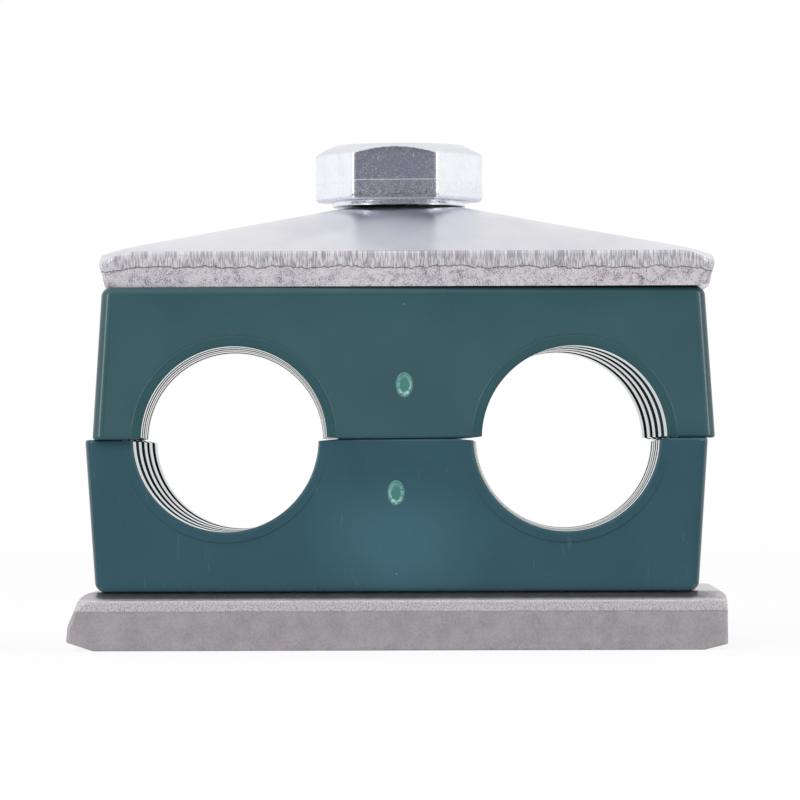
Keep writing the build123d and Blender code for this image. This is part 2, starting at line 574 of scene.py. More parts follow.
def new_material(name: str) -> tuple[bpy.types.Material, Term]:
    """Starts a node material.

    Args:
        name: the material's name.

    Returns:
        The material, and the place of each point in its own piece.
    """
    material = bpy.data.materials.new(name)
    material.use_nodes = True
    material.node_tree.nodes.clear()
    return material, attribute(material.node_tree, LOCAL, "Vector")


def end_material(
    height: Term, depth_mm: float, strength: Any, inputs: dict[str, Any]
) -> None:
    """Ends a node material with a Principled shader over a bump.

    Args:
        height: the bump's height, from 0 to 1.
        depth_mm: how deep the bump is.
        strength: how much of it shows.
        inputs: the shader's other inputs.
    """
    bump = term(height.tree, "ShaderNodeBump", {
        "Height": height, "Strength": strength, "Distance": depth_mm * MM})
    shader = term(height.tree, "ShaderNodeBsdfPrincipled", {**inputs, "Normal": bump})
    add_node(height.tree, "ShaderNodeOutputMaterial", {"Surface": shader})


@dataclass(frozen=True)
class MouldedPolypropylene:
    """Injection-moulded polypropylene: dark teal, glossy, scuffed by handling.

    It gives the eye a faint clean reflection on flat faces, near-white glancing
    reflections inside the tube seats, and small pale scratches and specks.
    """

    name: str = "moulded_polypropylene"
    body: str = "#33565C"
    scuff: str = "#8FB5B2"
    roughness: float = 0.08
    refraction: float = 1.49
    mottle_mm: float = 7.0
    mottle_share: float = 0.06
    scratch_mm: float = 1.1
    scratch_share: float = 0.03
    speck_mm: float = 1.6
    speck_share: float = 0.5
    bloom_share: float = 0.0    # painted light: how much paler it is in a patch over the bolt's hole
    bloom_reach_mm: tuple[float, float] = (10.0, 7.0)
    bloom_drop_mm: float = 8.5
    swell_mm: float = 5.0

    def material(self) -> bpy.types.Material:
        """Builds the node material."""
        material, place = new_material(self.name)
        cloudy = place.noise(self.mottle_mm).ranged(
            0.3, 0.7, 1 - self.mottle_share, 1 + self.mottle_share)
        # painted light: a paler patch centred over the bolt's hole, on top of the random
        # mottle
        wide, high = self.bloom_reach_mm
        away = place.stretched(
            (1 / wide, 0, 1 / high), move=(0, 0, self.bloom_drop_mm / high)).length()
        cloudy = away.band(1.0, 0.1).onto(cloudy, self.bloom_share)
        colour = cloudy.vector("MULTIPLY", {1: linear(self.body)[:3]})
        long_way = place.stretched((2.6, 1.0, 0.4), turn=0.5)
        scratch = long_way.noise(self.scratch_mm, distortion=0.4).band(0.66, 0.78)
        scratch *= self.scratch_share
        specks = term(place.tree, "ShaderNodeTexVoronoi", {
            "Vector": place, "Scale": 1 / self.speck_mm}, "Distance")
        speck = specks.band(0.055, 0.03) * place.noise(3.0, 1.0).band(0.54, 0.62)
        pale = speck.onto(scratch, self.speck_share, clamp=True)
        end_material(place.noise(self.swell_mm, 1.0), 0.01, 0.4, {
            "Base Color": pale.tint(colour, self.scuff), "IOR": self.refraction,
            "Roughness": scratch.onto(self.roughness, 1.5)})
        return material


@dataclass(frozen=True)
class StressedPlastic:
    """Polypropylene pulled at the gate: it gives the eye rough rings of pale mint."""

    name: str = "stressed_plastic"
    pale: str = "#B4E3DC"
    deep: str = "#44807A"
    body: str = "#35595C"
    half_width_mm: float = 0.75
    half_height_mm: float = 1.1
    patch_mm: float = 0.3
    roughness: float = 0.4

    def material(self) -> bpy.types.Material:
        """Builds the node material."""
        material, place = new_material(self.name)
        squeezed = place.vector(
            "MULTIPLY", {1: (1 / self.half_width_mm, 0, 1 / self.half_height_mm)})
        away = place.noise(self.patch_mm).onto(squeezed.length(), 0.34)
        ring = away.band(0.66, 0.80) * away.band(1.06, 0.92)
        rim = away.band(1.07, 1.12) * away.band(1.20, 1.14)
        bright = squeezed.split()[2].ranged(0.6, -0.8, 0.18, 1.0)
        patchy = place.noise(self.patch_mm * 0.7, 2.0).band(0.3, 0.62)
        share = rim.onto(ring * bright * patchy, 0.3, clamp=True)
        inner = away.band(1.2, 1.1).tint(self.body, self.deep)
        end_material(share, 0.05, 0.5, {
            "Base Color": share.tint(inner, self.pale), "Roughness": self.roughness})
        return material


@dataclass(frozen=True)
class BrightZinc:
    """Bright zinc plating on forged or rolled steel.

    It gives the eye a near-white metal with a slightly blue cast, whose fine
    crystalline grain breaks dark reflections into bright and dark specks.
    """

    name: str = "bright_zinc"
    base: str = "#F4F7FC"
    dull: str = "#ECF0F6"
    roughness: float = 0.13
    mottle_mm: float = 2.2
    speckle_mm: float = 0.075
    speckle_roughness: float = 0.5
    forged_mm: float = 2.15     # below this height the flats are rougher
    turned_mm: tuple[float, float] = (4.35, 4.7)    # where the turned chamfer starts
    turned: str = "#E3E4E9"
    bump_mm: float = 0.003

    def material(self) -> bpy.types.Material:
        """Builds the node material."""
        material, place = new_material(self.name)
        high = place.split()[2]
        cloud = place.noise(self.mottle_mm, 4.0)
        plated = cloud.band(0.35, 0.68).tint(self.base, self.dull)
        grain = place.noise(self.speckle_mm, 1.0)
        patch = place.noise(self.speckle_mm * 5, 2.0)
        forged = high.band(self.forged_mm + 0.03, self.forged_mm - 0.03)
        crystal = forged.onto(patch.onto(grain, 0.35), 0.08)
        end_material(grain, self.bump_mm, 1.0, {
            "Base Color": high.band(*self.turned_mm).tint(plated, self.turned),
            "Metallic": 1.0,
            "Roughness": crystal.ranged(
                0.66, 0.90, self.roughness, self.speckle_roughness, smooth=True)})
        return material


@dataclass(frozen=True)
class ShearedZinc:
    """Zinc-plated sheet with sheared sides: burnished lines over a grainy fracture.

    It gives the eye an even pale top, and on the sheared faces fine upright lines
    above a jagged step with a duller, finely pitted band below it.
    """

    name: str = "sheared_zinc"
    top: str = "#E2E2E7"
    top_dull: str = "#D6D6DD"
    burnish: str = "#EFECF2"
    groove: str = "#A7A2AC"
    fracture: str = "#E6DFE6"
    ground: str = "#B5ADB7"
    pit: str = "#6F6872"
    step: str = "#59525C"
    streak_mm: float = 0.09
    grain_mm: float = 0.09
    roughness: float = 0.28
    burnish_roughness: float = 0.42
    torn_roughness: float = 0.58
    scatter: float = 0.7        # how much a sheared face scatters instead of mirroring

    def material(self) -> bpy.types.Material:
        """Builds the node material."""
        material, place = new_material(self.name)
        cut, torn = attribute(place.tree, CUT), attribute(place.tree, TORN)
        edge_on = place.stretched((1.0, 1.0, 0.012))
        streak = edge_on.noise(self.streak_mm * 8, 2.0).onto(
            edge_on.noise(self.streak_mm, 4.0), 0.2)
        burnished = streak.band(0.74, 0.44).tint(self.burnish, self.groove)
        grain = place.noise(self.grain_mm)
        mixed = place.noise(self.grain_mm * 7, 2.0).onto(grain, 0.5)
        grainy = mixed.band(0.82, 0.62).tint(self.fracture, self.ground)
        grainy = mixed.band(0.65, 0.50).tint(grainy, self.pit)
        lip = torn.band(0.15, 0.5) * torn.band(0.95, 0.6) * 0.9
        sheared = lip.tint(torn.tint(burnished, grainy), self.step)
        top = place.noise(6.0).band(0.35, 0.7).tint(self.top, self.top_dull)
        cut_roughness = torn.ranged(0.0, 1.0, self.burnish_roughness, self.torn_roughness)
        end_material(grain, 0.012, cut.ranged(0.0, 1.0, 0.15, 1.0), {
            "Base Color": cut.tint(top, sheared), "Metallic": cut.onto(1.0, -self.scatter),
            "Roughness": cut.ranged(0.0, 1.0, self.roughness, cut_roughness)})
        return material


@dataclass(frozen=True)
class BareSteel:
    """Hot-rolled flat bar, pickled and lightly oiled.

    It gives the eye a matt warm grey with a fine upright felt-like texture and a
    smoother, paler roll along the sheared edges.
    """

    name: str = "bare_steel"
    base: str = "#C3BDC1"
    dark: str = "#A29BA0"
    burnish: str = "#DFDADE"
    bared: float = 0.4          # how much of the sides is clean metal
    rubbed: float = 0.85        # how much of the top is
    roughness: float = 0.5
    cloud_mm: float = 1.3
    grain_mm: float = 0.11
    burnish_mm: tuple[float, float] = (3.38, 4.25)  # foot and head of the bright band
    roll_roughness: float = 0.26

    def material(self) -> bpy.types.Material:
        """Builds the node material."""
        material, place = new_material(self.name)
        high = place.split()[2]
        cloud = place.noise(self.cloud_mm, 4.0)
        grain = place.stretched((1.0, 1.0, 0.7)).noise(self.grain_mm)
        share = grain.band(0.6, 0.36).onto(cloud.band(0.3, 0.7) * 0.45, 0.4, clamp=True)
        wander = place.noise(1.5, 4.0).onto(high, 0.2)
        low, top = self.burnish_mm
        bright = wander.band(low + 0.06, low + 0.14) * high.band(top + 0.2, top)
        line = wander.band(low - 0.1, low + 0.03) * wander.band(low + 0.12, low + 0.04)
        speck = bright * grain.band(0.30, 0.62)
        colour = speck.tint(share.tint(self.base, self.dark), self.burnish)
        rough = cloud.ranged(0.3, 0.7, self.roughness - 0.05, self.roughness + 0.06)
        end_material(grain, 0.012, 0.7, {
            "Base Color": (line * 0.35).tint(colour, self.dark),
            "Metallic": high.band(top - 0.05, top + 0.25).between(self.bared, self.rubbed),
            "Roughness": high.band(top - 0.1, top).between(rough, self.roll_roughness)})
        return material


# ---------------------------------------------------------------- pieces


@dataclass
class ClampHalf:
    """One moulded half: a drafted block with two ribbed tube seats.

    It is built with its joint face up at height 0; the upper half is the same
    moulding turned over.
    """

    finish: MouldedPolypropylene = MouldedPolypropylene()
    mark: StressedPlastic = StressedPlastic()
    length: float = 53.1
    depth: float = 30.0
    height: float = 13.0
    end_draft: float = 3.7
    side_draft: float = 1.0
    corner_radius: float = 1.0
    back_radius: float = 0.8
    joint_radius: float = 0.25
    seat_radius: float = 7.9
    seat_spacing: float = 29.0
    land_count: int = 5
    groove_width: float = 3.0
    groove_depth: float = 0.5
    groove_slope: float = 0.18
    mouth_radius: float = 0.2
    ring_width: float = 0.9
    ring_edge: float = 0.12
    ring_start: float = 0.03
    relief_depth: float = 0.17
    relief_reach: float = 2.8
    bolt_hole_radius: float = 4.5
    recess_radius: float = 6.75
    recess_depth: float = 5.0
    pad_length: float = 18.0
    pad_relief: float = 0.25
    pad_corner: float = 0.8
    pad_edge: float = 0.06
    pad_spans: tuple[tuple[float, float], ...] = ((0.6, 4.9), (8.0, 11.4))
    gate_width: float = 1.5
    gate_height: float = 2.2
    gate_drop: float = 4.6
    gate_lift: float = 0.1

    def block(self) -> bpy.types.Object:
        """The drafted block with its rounded edges."""
        end = math.tan(math.radians(self.end_draft))
        side = math.tan(math.radians(self.side_draft))
        levels = []
        for radius, steps, start, sense in (
            (self.joint_radius, 5, 0.0, 1), (self.back_radius, 9, -self.height, -1),
        ):
            levels += [
                (start - sense * radius * (1 - math.cos(a)), radius * (1 - math.sin(a)))
                for a in quarter_turn(steps)[::sense]]
        return solid("clamp_half", *ring_stack([
            rounded_ring(self.length + 2 * z * end - 2 * inset,
                         self.depth + 2 * z * side - 2 * inset,
                         max(self.corner_radius - inset, 0.15), z)
            for z, inset in levels]))

    def seat_ring(self, x: float) -> bpy.types.Object:
        """The undrafted ring that stands proud of the front and back round a seat."""
        radius = self.seat_radius + self.ring_width
        edge, side, steps = self.ring_edge, self.depth / 2, 64
        turns = [math.pi * (1 + i / steps) for i in range(steps + 1)]
        rise = [(edge * (1 - math.cos(a)), edge * (1 - math.sin(a)))
                for a in quarter_turn(5)]
        levels = [(up - side, inset) for up, inset in rise]
        levels += [(side - up, inset) for up, inset in rise[::-1]]
        return solid("seat_ring", *ring_stack([
            [(x + (radius - inset) * math.cos(a), y,
              (radius - inset) * math.sin(a) - self.ring_start) for a in turns]
            for y, inset in levels]))

    def joint_relief(self) -> bpy.types.Object:
        """Where the moulding has sunk: the joint face falls away towards each seat."""
        inner = self.seat_spacing / 2 - self.seat_radius
        outer = self.seat_spacing / 2 + self.seat_radius
        reach, past, clear, steps = self.relief_reach, 0.6, 0.004, 8
        profile = [(inner - reach + reach * i / steps,
                    -self.relief_depth * (i / steps) ** 2) for i in range(steps + 1)]
        profile += [(outer, -self.relief_depth), (outer + past, 0.0), (outer + past, 1.0),
                    (inner - reach, 1.0)]
        points: list[Point] = []
        faces: list[list[int]] = []
        for mirror in (1, -1):
            more, skins = ring_stack([[(mirror * x, y, z + clear) for x, z in profile]
                                      for y in (-self.depth, self.depth)])
            faces += [[len(points) + n for n in face] for face in skins]
            points += more
        return solid("joint_relief", points, faces)

    def seat_cutters(self) -> bpy.types.Object:
        """Both tube seats' cutters, ribbed by a Geometry Nodes tree."""
        pitch = (self.depth + self.groove_width) / self.land_count
        sizes = {
            "Radius": self.seat_radius * MM, "Spacing": self.seat_spacing * MM,
            "Half Depth": self.depth / 2 * MM, "Pitch": pitch * MM,
            "Groove Width": self.groove_width * MM, "Groove Depth": self.groove_depth * MM,
            "Groove Slope": self.groove_slope * MM, "Mouth": self.mouth_radius * MM,
            "Around": 144, "Along": 170,
        }
        tree, size = open_group("seat_cutters", sizes)
        overrun, gather = 1.03, QUARTER * 0.9   # the stations gather towards both mouths
        half = size["Half Depth"] * overrun
        tube = term(tree, "GeometryNodeMeshCylinder", {
            "Vertices": size["Around"], "Side Segments": size["Along"],
            "Radius": size["Radius"], "Depth": half * 2.0})
        lying = term(tree, "GeometryNodeTransform", {
            "Geometry": tube, "Rotation": (QUARTER, 0, 0)})
        x, y, z = term(tree, "GeometryNodeInputPosition").split()
        along = (y / half * gather).math("SINE") * half * (1 / math.sin(gather))
        from_groove = along.math("PINGPONG", size["Pitch"] * 0.5)
        if self.land_count % 2:
            from_groove = size["Pitch"] * 0.5 - from_groove
        edge, slope = size["Groove Width"] * 0.5, size["Groove Slope"] * 0.5
        groove = from_groove.ranged(
            edge + slope, edge - slope, 0.0, size["Groove Depth"], smooth=True)
        inside = size["Half Depth"] - abs(along)
        into = (1.0 - inside / size["Mouth"]).at_least(0.0).at_most(1.0)
        flare = (1.0 - (1.0 - into ** 2.0).at_least(0.0).math("SQRT")) * size["Mouth"]
        beyond = (inside * -1.0).at_least(0.0) * 2.0
        growth = groove.at_least(flare) + beyond
        spread = (size["Radius"] + growth) / size["Radius"]
        shaped = term(tree, "GeometryNodeSetPosition", {
            "Geometry": lying, "Position": joined(tree, x * spread, along, z * spread)})
        line = term(tree, "GeometryNodeMeshLine", {
            "Count": 2, "Start Location": joined(tree, size["Spacing"] * -0.5),
            "Offset": joined(tree, size["Spacing"])})
        pair = term(tree, "GeometryNodeInstanceOnPoints", {
            "Points": line, "Instance": shaped})
        cutters = new_object("seat_cutters", bpy.data.meshes.new("seat_cutters"))
        run_group(cutters, pair, bpy.data.materials[self.mark.name], sizes)
        return cutters

    def pad(self, start: float, end: float) -> bpy.types.Object:
        """A plain raised pad on the end face, between two depths below the joint."""
        rings = []
        bite, edge, top = 1.0, self.pad_edge, self.pad_relief
        for x, inset in ((-bite, 0.0), (top - edge, 0.0), (top - 0.3 * edge, 0.3 * edge),
                         (top, edge)):
            ring = rounded_ring(end - start - 2 * inset, self.pad_length - 2 * inset,
                                self.pad_corner - inset, 0, 6)
            rings.append([(x, y, u) for u, y, _ in ring])
        pad = solid("pad", *ring_stack(rings))
        middle = -(start + end) / 2
        lean = math.radians(self.end_draft)
        reach = self.length / 2 + middle * math.tan(lean)
        outward = Matrix.Rotation(math.pi, 4, "Z") @ Matrix.Rotation(lean, 4, "Y")
        pad.data.transform(Matrix.Translation(Vector((-reach, 0, middle)) * MM) @ outward)
        return pad

    def moulding(self) -> bpy.types.Object:
        """The whole half, joint face up, with its pads, seats, hole and recess."""
        half = self.block()
        added = [self.pad(*span) for span in self.pad_spans]
        added += [self.seat_ring(side * self.seat_spacing / 2) for side in (-1, 1)]
        deep, clear = self.height * 1.5, 3.0    # how far the cutters reach outside
        hole = drill("hole", self.bolt_hole_radius, -deep, clear)
        recess = drill("recess", self.recess_radius, -deep, self.recess_depth - self.height)
        tools = [self.seat_cutters(), hole, recess, self.joint_relief()]
        for operation, group in (("UNION", added), ("DIFFERENCE", tools)):
            for tool in group:
                boolean(half, tool, operation)
        apply_modifiers(half)
        discard(*added, *tools)
        return half

    def gate(self, name: str, bright_end: int) -> bpy.types.Object:
        """The oval trace of the moulding gate, slightly proud of the front face.

        Args:
            name: the piece's name.
            bright_end: 1 where its pale end is away from the joint, else -1.

        Returns:
            The gate mark, in the half's own frame.
        """
        rings = []
        layers, around, bite, tip = 6, 40, 0.3, 0.05
        for i, a in enumerate(quarter_turn(layers)):
            grow = math.cos(a) if i < layers else tip
            rings.append([
                (self.gate_width / 2 * grow * math.cos(t),
                 -self.gate_lift * math.sin(a) + (bite if i == 0 else 0.0),
                 self.gate_height / 2 * grow * math.sin(t))
                for t in (4 * QUARTER * k / around for k in range(around))])
        gate = solid(name, *ring_stack(rings))
        lean = math.tan(math.radians(self.side_draft)) * self.gate_drop
        flip = Matrix.Diagonal((1, 1, bright_end, 1))
        gate.data.transform(flip)
        keep_local(gate.data)
        gate.data.transform(flip)
        gate.data.transform(Matrix.Translation(
            Vector((0, -self.depth / 2 + lean, -self.gate_drop)) * MM))
        gate.data.shade_smooth()
        return gate


@dataclass
class ClampPair:
    """Both halves, seated joint face to joint face round the tubes."""

    half: ClampHalf = field(default_factory=ClampHalf)
    # the lower half's finish: a lit copy of the moulded finish, with more scratches, its
    # own body colour and painted light, paler over the bolt's hole
    handled: MouldedPolypropylene = MouldedPolypropylene(
        name="handled_polypropylene", body="#345661", scratch_share=0.12, bloom_share=0.45)
    upper_turn: float = 2.8

    def build(self) -> None:
        """Builds one moulding and places it twice."""
        mark = self.half.mark.material()
        joint = float(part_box("lower_half")[1][2])
        moulding = self.half.moulding()
        shade(moulding, 30.0)
        keep_local(moulding.data)
        seated = turned_place(0, joint, 0)
        over = turned_place(0, joint, self.upper_turn) @ Matrix.Rotation(math.pi, 4, "Y")
        for name, body, place, finish, bright_end in (
            ("lower_half", "lower_jaw", seated, self.handled, 1),
            ("upper_half", "upper_jaw", over, self.half.finish, -1),
        ):
            piece = new_object(f"{name}_moulding", moulding.data.copy())
            settle(piece, place, finish.material(), body)
            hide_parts(name)
            gate = self.half.gate(f"{name}_gate", bright_end)
            settle(gate, place, mark, body)
        discard(moulding)


@dataclass
class CoverPlate:
    """The pressed cover: four shallow slopes up to the bolt's seat, sheared all round."""

    finish: ShearedZinc = ShearedZinc()
    length: float = 52.5
    depth: float = 30.0
    thickness: float = 3.0
    corner: float = 1.4
    rise: float = 4.42
    end_bow: float = 0.2
    rim: float = 0.5
    foot: float = 3.0
    seat_length: float = 10.4
    seat_depth: float = 10.6
    seat_blend: float = 0.35
    hole_radius: float = 4.8
    hole_reach: tuple[float, float] = (-2.0, 12.0)  # the hole's cutter, from the underside
    shift: float = 0.65
    turn: float = 1.3
    crease_blend: float = 1.9
    break_level: float = 2.6
    break_taper: float = 0.36
    slope_sag: float = 0.1
    end_roll: float = 0.25
    corner_reach: float = 3.2
    corner_width: float = 4.0
    corner_drop: float = 1.0
    foot_reach: float = 1.1
    foot_lift: float = 0.3
    top_roll: tuple[float, float] = (0.22, 0.09)    # height and depth at the upper edge
    streak_mm: float = 0.16
    streak_depth: float = 0.015
    ledge_level: float = 1.62
    ledge_wander: float = 1.5
    ledge_depth: float = 0.06
    grain_depth: float = 0.035
    grain_mm: float = 0.22
    seed: float = 3.7

    def lift(self, x: np.ndarray, y: np.ndarray, foot_y: float) -> np.ndarray:
        """How far the dome stands above the flat long edges.

        Args:
            x: places along the plate.
            y: places across it.
            foot_y: where the long slopes start, from the middle.

        Returns:
            The height at each place.
        """
        end_slope = (self.rise - self.end_bow) / (self.length / 2 - self.seat_length / 2)
        side_slope = self.rise / (foot_y - self.seat_depth / 2)
        ends = self.end_bow + end_slope * (self.length / 2 - np.abs(x))
        ends -= self.slope_sag * (1 + np.clip(x / self.seat_length, 0, 1))
        height = smooth_min(ends, side_slope * (foot_y - np.abs(y)), self.crease_blend)
        return np.maximum(smooth_min(height, self.rise, self.seat_blend), 0.0)

    def blank(self) -> bpy.types.Mesh:
        """The domed plate as a gridded solid, with each sheared face marked."""
        end, side, high = self.length / 2, self.depth / 2, self.thickness
        middle = np.linspace(0.26, high - 0.2, 26)
        points, faces = lattice_box(
            stations(self.length, 420, 1.6, 14), stations(self.depth, 44, 1.6, 14),
            [0.0, 0.06, 0.14, *middle, high - 0.12, high - 0.05, high])
        x, y, level = points.T
        on_face = 1e-6
        is_side = (np.abs(x) > end - on_face) | (np.abs(y) > side - on_face)
        x, y = round_off(x, y, end, side, self.corner)
        outer, inner = self.lift(x, y, side - self.rim), self.lift(x, y, side - self.foot)
        near_y = near_end(np.abs(y), side, self.corner_width) ** 1.5
        drop = self.end_roll + self.corner_drop * near_y
        outer -= drop * near_end(np.abs(x), end, self.corner_reach) ** 2
        inner += self.foot_lift * near_end(np.abs(x), end, self.foot_reach) ** 2 * near_y
        taper = self.break_taper * np.clip(1 - level / self.break_level, 0, 1)
        share = level / high
        mesh = gridded("cover_plate", x * (1 - taper / end), y * (1 - taper / side),
                       level + outer * share + inner * (1 - share), faces)
        mark_points(mesh, CUT, is_side)
        mark_points(mesh, LEVEL, level)
        keep_local(mesh)
        return mesh

    def tear(self, plate: bpy.types.Object, material: bpy.types.Material) -> None:
        """Tears the sheared faces with a Geometry Nodes tree.

        Args:
            plate: the domed plate.
            material: its finish.
        """
        sizes = {
            "Length": self.length, "Depth": self.depth, "Corner": self.corner,
            "Thickness": self.thickness, "Streak": self.streak_mm,
            "Streak Depth": self.streak_depth, "Ledge Level": self.ledge_level,
            "Ledge Depth": self.ledge_depth, "Grain": self.grain_mm,
            "Grain Depth": self.grain_depth, "Seed": self.seed,
        }
        tree, size = open_group("sheared_faces", sizes)
        cut, level, place = (
            term(tree, "GeometryNodeInputNamedAttribute", {"Name": name}, data_type=kind)
            for name, kind in ((CUT, "FLOAT"), (LEVEL, "FLOAT"), (LOCAL, "FLOAT_VECTOR")))
        x, y, _ = place.split()
        outward = joined(tree, *(
            at.math("SIGN") * (abs(at) - (size[side] * 0.5 - size["Corner"])).at_least(0.0)
            for at, side in ((x, "Length"), (y, "Depth")))).vector("NORMALIZE")
        upright = 0.045     # how slowly the lines change on their way up
        streak = joined(tree, x, y, level * upright).seeded_noise(
            size["Seed"], size["Streak"], 3.0)
        wander = joined(tree, x, y).seeded_noise(size["Seed"], 2.0, 6.0, 0.78)
        ledge = size["Ledge Level"] + (wander - 0.5) * self.ledge_wander
        torn = (level - ledge).band(0.10, -0.06)
        grain = place.seeded_noise(size["Seed"], size["Grain"], 4.0, 0.65)
        combed = (streak - 0.5) * (size["Streak Depth"] * 2.0)
        rough = (grain - 0.5) * (size["Grain Depth"] * 2.0) - size["Ledge Depth"]
        height, depth = self.top_roll
        roll = level.ranged(
            size["Thickness"] - height, size["Thickness"], 0.0, -depth, smooth=True)
        push = (torn.between(combed, rough) + roll) * cut
        moved = term(tree, "GeometryNodeSetPosition", {
            "Geometry": size["Geometry"],
            "Offset": outward.vector("SCALE", {"Scale": push * MM})})
        marked = term(tree, "GeometryNodeStoreNamedAttribute", {
            "Geometry": moved, "Name": TORN, "Value": torn}, data_type="FLOAT",
            domain="POINT")
        run_group(plate, marked, material, sizes)

    def build(self) -> None:
        """Builds, tears, drills and places the cover."""
        material = self.finish.material()
        level = float(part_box("upper_half")[1][2])
        plate = new_object("pressed_cover", self.blank())
        self.tear(plate, material)
        hole = drill("hole", self.hole_radius, *self.hole_reach)
        boolean(plate, hole, "DIFFERENCE")
        apply_modifiers(plate)
        discard(hole)
        shade(plate, 50.0, weighted=False)
        settle(plate, turned_place(self.shift * MM, level, self.turn), material, "cap")
        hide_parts("cover_plate")


@dataclass
class WeldPlate:
    """The flat bar that is welded down, with its pierced and tapped collar."""

    finish: BareSteel = BareSteel()
    length: float = 56.3
    depth: float = 30.0
    thickness: float = 5.0
    long_roll: tuple[float, float] = (1.4, 0.8)     # reach and drop of the long edges
    roll_curve: float = 1.3                         # 1 falls evenly, 2 starts level
    burnish_lean: float = 0.05                      # how far the long sides lean in above
    burnish_level: float = 3.4                      # this level
    left_roll: tuple[float, float] = (1.7, 1.25)
    right_roll: tuple[float, float] = (0.85, 0.75)
    left_lean: float = 0.66
    left_belly: tuple[float, float] = (0.1, 2.4)    # reach and level where the lean eases
    left_foot: tuple[float, float] = (2.3, 0.75)    # reach and rise under the left end
    right_foot: tuple[float, float] = (2.0, 0.5)
    crisp: float = 0.12
    collar_radius: float = 6.25
    collar_height: float = 4.5
    collar_edge: float = 0.6
    thread_radius: float = 4.05
    thread_depth: float = 0.5
    pitch: float = 1.25
    pierce_radius: float = 1.2
    dent_mm: float = 2.2
    dent_depth: float = 0.035
    seed: float = 8.1

    @staticmethod
    def rolled(past: np.ndarray, roll: tuple[float, float]) -> np.ndarray:
        """How far a sheared edge has rolled down along a round arc.

        Args:
            past: the distance past the end of the flat.
            roll: the reach and the drop of the whole roll.

        Returns:
            The drop at each place.
        """
        reach, drop = roll
        radius = (reach ** 2 + drop ** 2) / (2 * drop)
        return radius - np.sqrt(radius ** 2 - np.clip(past, 0, reach) ** 2)

    def bar(self) -> bpy.types.Mesh:
        """The bar as a gridded solid, with its rolled edges, lean and worn feet."""
        side, end = self.depth / 2, self.length / 2
        high, mid = self.thickness, self.thickness / 2
        edge = np.linspace(0, 0.4, 5, endpoint=False)
        points, faces = lattice_box(
            stations(self.length, 230, 2.6, 16), stations(self.depth, 60, 1.6, 14),
            [*edge, *np.linspace(0.4, high - 0.4, 16), *(high - edge[::-1])])
        x, y, z = points.T
        y, z = round_off(y, z - mid, side, mid, self.crisp)
        x, z = round_off(x, z, end, mid, self.crisp)
        x, y = round_off(x, y, end, side, 2 * self.crisp)
        z = z + mid
        foot_rise, shoulder = self.left_foot[1], high - self.left_roll[1]
        level = foot_rise + z / high * (shoulder - foot_rise)
        leaning = 4.0       # how much of the left end leans
        x = x + near_end(-x, end, leaning) * np.interp(
            level, (foot_rise + 0.4, self.left_belly[1], shoulder - 0.1),
            (0.0, self.left_belly[0], self.left_lean))
        left_flat = end - self.left_lean - self.left_roll[0]
        past = near_end(np.abs(y), side, self.long_roll[0])
        top = (high - self.long_roll[1] * past ** self.roll_curve
               - self.rolled(-x - left_flat, self.left_roll)
               - self.rolled(x - end + self.right_roll[0], self.right_roll))
        foot = (self.left_foot[1] * near_end(-x, end, self.left_foot[0])
                + self.right_foot[1] * near_end(x, end, self.right_foot[0]))
        z = foot + z / high * (top - foot)
        edge_level = high - self.long_roll[1]
        lean = np.clip((z - self.burnish_level) / (edge_level - self.burnish_level), 0, 1)
        y = y - np.sign(y) * self.burnish_lean * lean * (np.abs(y) > side - 0.3)
        return gridded("weld_plate", x, y, z, faces)

    def wear(self, plate: bpy.types.Object, material: bpy.types.Material) -> None:
        """Leaves the bar slightly uneven with a Geometry Nodes tree.

        Args:
            plate: the bar.
            material: its finish.
        """
        sizes = {"Dent": self.dent_mm * MM, "Dent Depth": self.dent_depth * MM,
                 "Seed": self.seed}
        tree, size = open_group("uneven_bar", sizes)
        place = term(tree, "GeometryNodeInputPosition")
        noise = place.seeded_noise(size["Seed"], size["Dent"], 4.0)
        normal = term(tree, "GeometryNodeInputNormal")
        off_floor = place.split()[2].ranged(0.0, 0.001)
        push = (noise - 0.62) * size["Dent Depth"] * 2.0 * off_floor
        moved = term(tree, "GeometryNodeSetPosition", {
            "Geometry": size["Geometry"],
            "Offset": normal.vector("SCALE", {"Scale": push})})
        run_group(plate, moved, material, sizes)

    def collar(self) -> bpy.types.Object:
        """The collar, with a rounded top."""
        top, edge = self.thickness + self.collar_height, self.collar_edge
        return turned_solid("collar", [(self.collar_radius, self.thickness - 1.0)] + [
            (self.collar_radius - edge * (1 - math.cos(a)), top - edge * (1 - math.sin(a)))
            for a in quarter_turn(6)])

    def tapped_hole(self) -> bpy.types.Object:
        """The tapped hole's cutter: a pierced mouth below, grooves, a wider top."""
        top = self.thickness + self.collar_height
        bore, deep = self.thread_radius, self.thread_radius + self.thread_depth
        mouth, wider, start, end, lip = self.pierce_radius, 0.6, 0.3, 0.8, 0.3
        profile = [(bore + mouth * 1.6, -1.0)]
        profile += [(bore + mouth * (1 - math.sin(a)), mouth * (1 - math.cos(a)))
                    for a in quarter_turn(6)]
        for turn in range(int((top - mouth - end) / self.pitch)):
            z = mouth + start + turn * self.pitch
            profile += [(radius, z + self.pitch * share) for radius, share in (
                (bore, 0.0), (deep, 0.45), (deep, 0.55), (bore, 0.95))]
        profile += [(bore, top - lip), (bore + wider, top + lip), (bore + wider, top + 2)]
        return turned_solid("tapped_hole", profile)

    def build(self) -> None:
        """Builds and places the weld plate."""
        material = self.finish.material()
        plate = new_object("weld_bar", self.bar())
        self.wear(plate, material)
        collar, hole = self.collar(), self.tapped_hole()
        boolean(plate, collar, "UNION")
        boolean(plate, hole, "DIFFERENCE")
        apply_modifiers(plate)
        discard(collar, hole)
        shade(plate, 40.0, weighted=False)
        settle(plate, Matrix.Identity(4), material, "base")
        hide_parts("weld_plate")


